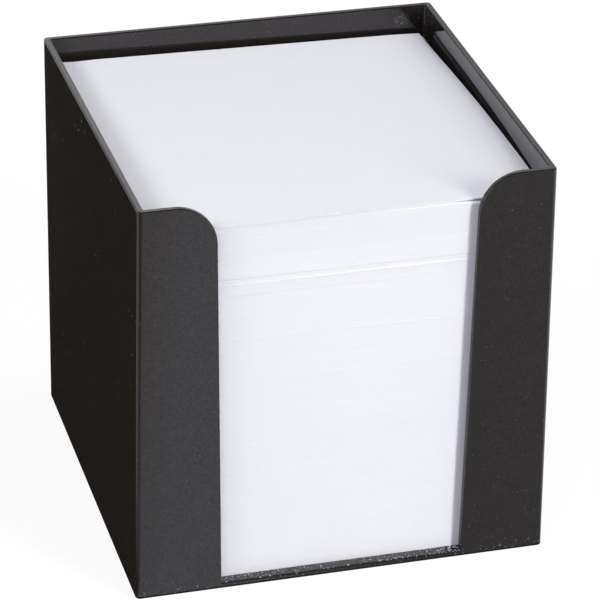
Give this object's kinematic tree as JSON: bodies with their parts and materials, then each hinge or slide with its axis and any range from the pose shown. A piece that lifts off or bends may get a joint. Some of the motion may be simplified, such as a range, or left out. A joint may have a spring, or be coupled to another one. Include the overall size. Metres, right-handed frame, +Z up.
{
  "type": "note box",
  "caption": "Open-topped square desk box with a wide finger slot in its front wall, filled with loose square note sheets that lift out.",
  "frame": {"origin": "on the desk top, under the middle of the box's footprint", "axes": "+Z up, -Y towards the front wall with the finger slot, +X to the right of somebody looking at that front"},
  "size_m": [0.096, 0.0966, 0.0965],
  "materials": {
    "black_plastic": "satin black outside, glossy inside, with fine handling scuffs and dust",
    "note_paper": "uncoated matt white"
  },
  "bodies": {
    "box": {"note_box": "black_plastic"},
    "note_stack": {"note_lift_01": "note_paper", "note_lift_02": "note_paper", "note_lift_03": "note_paper", "note_lift_04": "note_paper", "note_lift_05": "note_paper", "note_lift_06": "note_paper", "note_lift_07": "note_paper", "note_lift_08": "note_paper", "note_lift_09": "note_paper", "note_lift_10": "note_paper", "note_lift_11": "note_paper", "note_lift_12": "note_paper", "note_lift_13": "note_paper", "note_lift_14": "note_paper", "note_lift_15": "note_paper", "note_lift_16": "note_paper", "note_lift_17": "note_paper", "note_lift_18": "note_paper", "note_lift_19": "note_paper", "note_lift_20": "note_paper", "note_lift_21": "note_paper", "note_lift_22": "note_paper", "note_lift_23": "note_paper", "note_lift_24": "note_paper", "note_lift_25": "note_paper", "note_lift_26": "note_paper", "note_lift_27": "note_paper", "note_lift_28": "note_paper", "note_lift_29": "note_paper", "note_lift_30": "note_paper", "note_lift_31": "note_paper", "note_lift_32": "note_paper", "note_lift_33": "note_paper", "note_lift_34": "note_paper", "note_lift_35": "note_paper", "note_lift_36": "note_paper", "fifth_note": "note_paper", "fourth_note": "note_paper", "third_note": "note_paper", "second_note": "note_paper"},
    "top_note": {"top_note": "note_paper"}
  },
  "joints": [
    {"name": "stack_lift", "type": "slide", "parent": "box", "child": "note_stack", "axis": [0, 0, 1], "range_m": [0, 0.11]},
    {"name": "top_note_lift", "type": "slide", "parent": "note_stack", "child": "top_note", "axis": [0, 0, 1], "range_m": [0, 0.05]}
  ]
}
